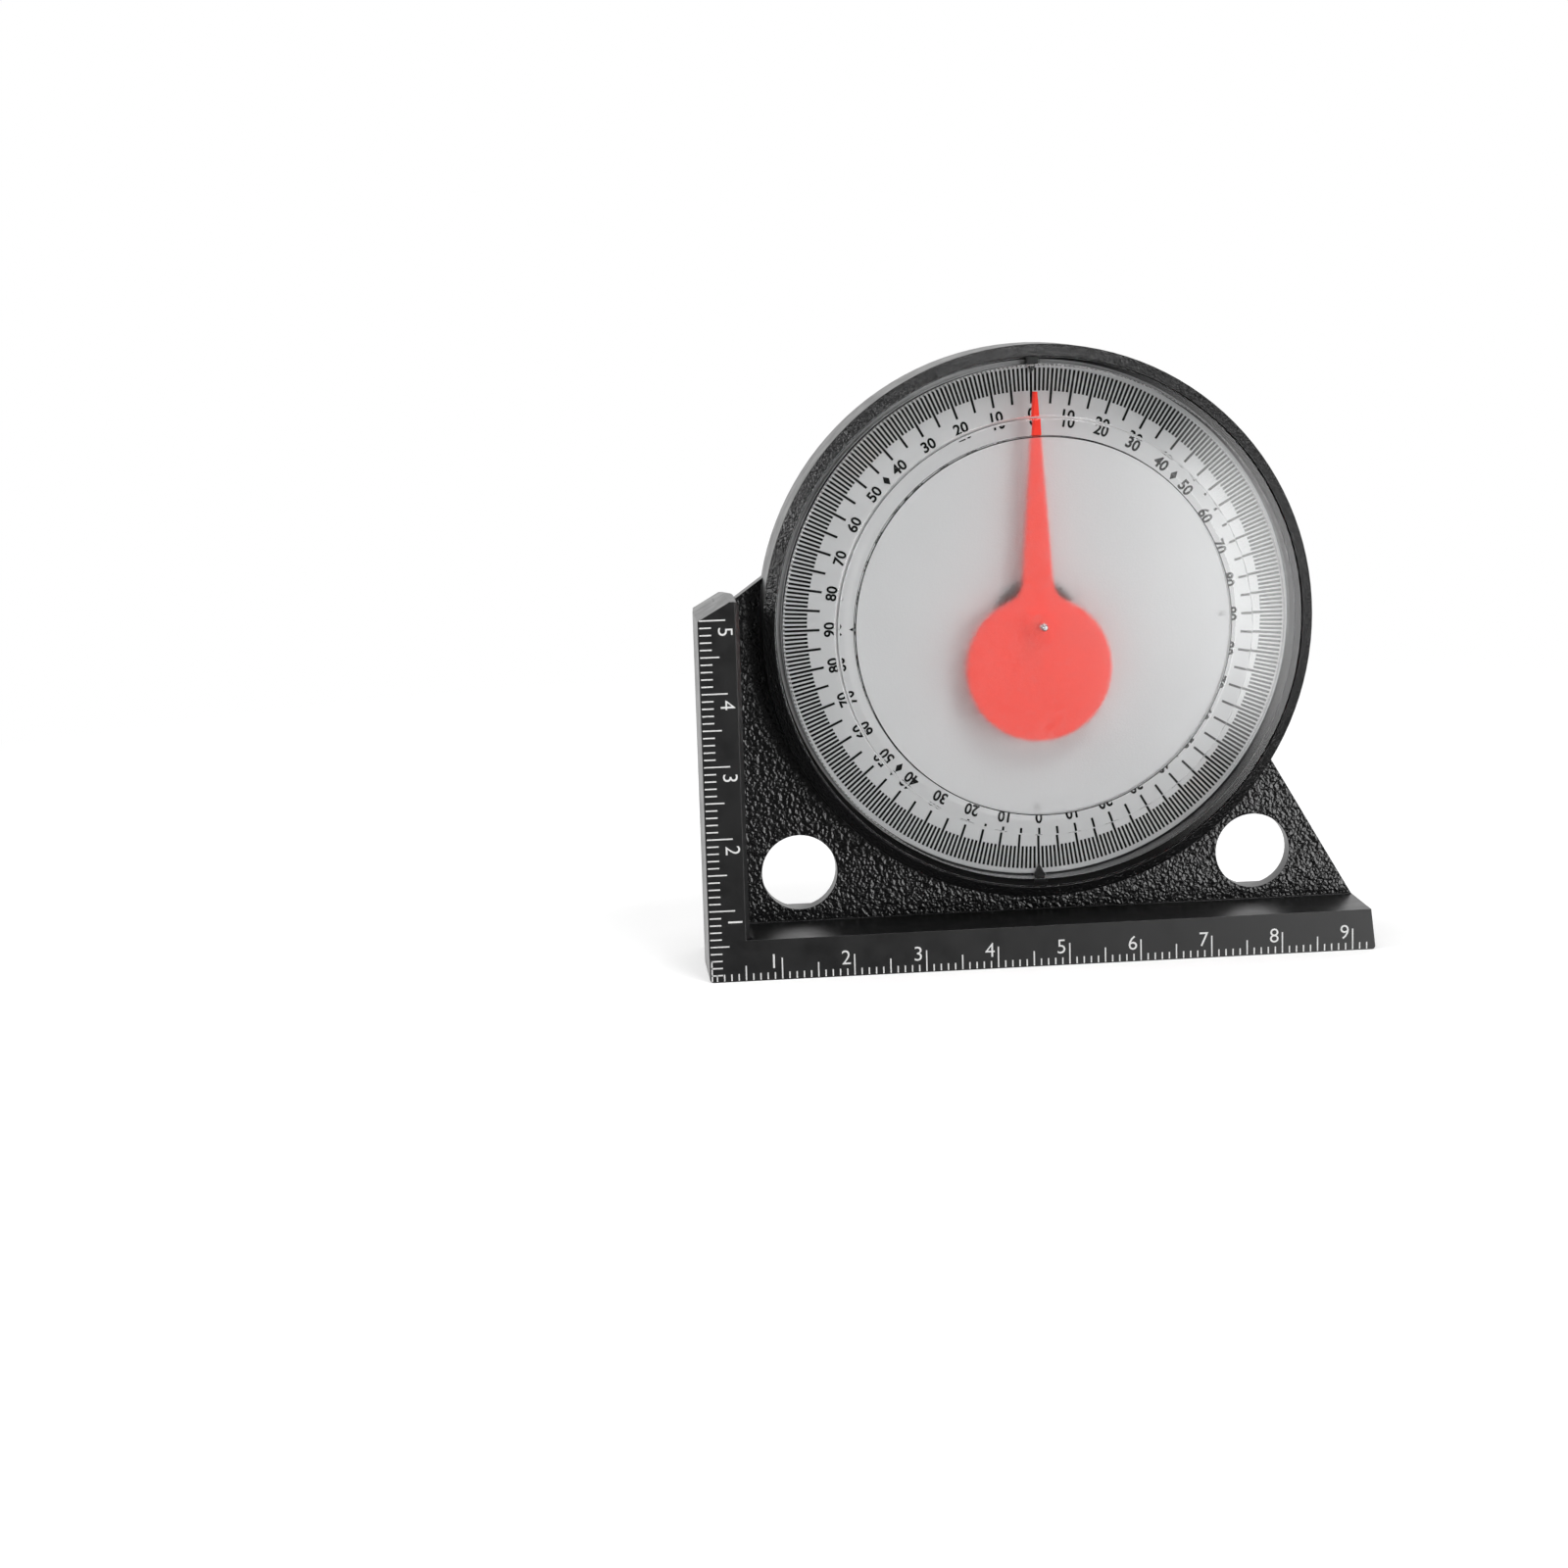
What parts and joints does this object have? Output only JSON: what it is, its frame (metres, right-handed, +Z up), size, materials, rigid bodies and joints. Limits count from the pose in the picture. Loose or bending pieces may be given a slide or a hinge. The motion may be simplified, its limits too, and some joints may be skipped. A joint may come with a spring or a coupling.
{
  "type": "inclinometer",
  "caption": "Free-standing dial inclinometer: ruled L-shaped base and side beams, grained web with finger holes, round dial drum and a weighted red pointer behind a clear lens.",
  "frame": {"origin": "middle of the base face, on the parting plane of the two housing halves", "axes": "+X along the base away from the side beam, +Z up, the dial faces -Y"},
  "size_m": [0.0932, 0.0238, 0.0852],
  "materials": {
    "black_housing": "black ABS, leather grain on web and rim, satin beams",
    "dial_white": "matt pale grey-white with black print",
    "clear_lens": "clear moulded cover with a frosted middle",
    "pointer_red": "fluorescent red-orange",
    "steel": "bright turned steel",
    "brass": "turned brass",
    "magnet": "dark ground ferrite",
    "screw_steel": "zinc-plated steel"
  },
  "bodies": {
    "housing": {"front_housing": "black_housing", "rear_housing": "black_housing", "dial_plate": "dial_white", "lens": "clear_lens", "rear_bearing": "brass", "base_magnet_left": "magnet", "base_magnet_right": "magnet", "case_screws": "screw_steel"},
    "swinging_pointer": {"pointer": "pointer_red", "counterweight": "steel", "pivot_pin": "steel"}
  },
  "joints": [
    {"name": "pointer_swing", "type": "hinge", "parent": "housing", "child": "swinging_pointer", "pos_m": [0.0005, -0.006, 0.04715], "axis": [0, -1, 0], "continuous": true}
  ]
}
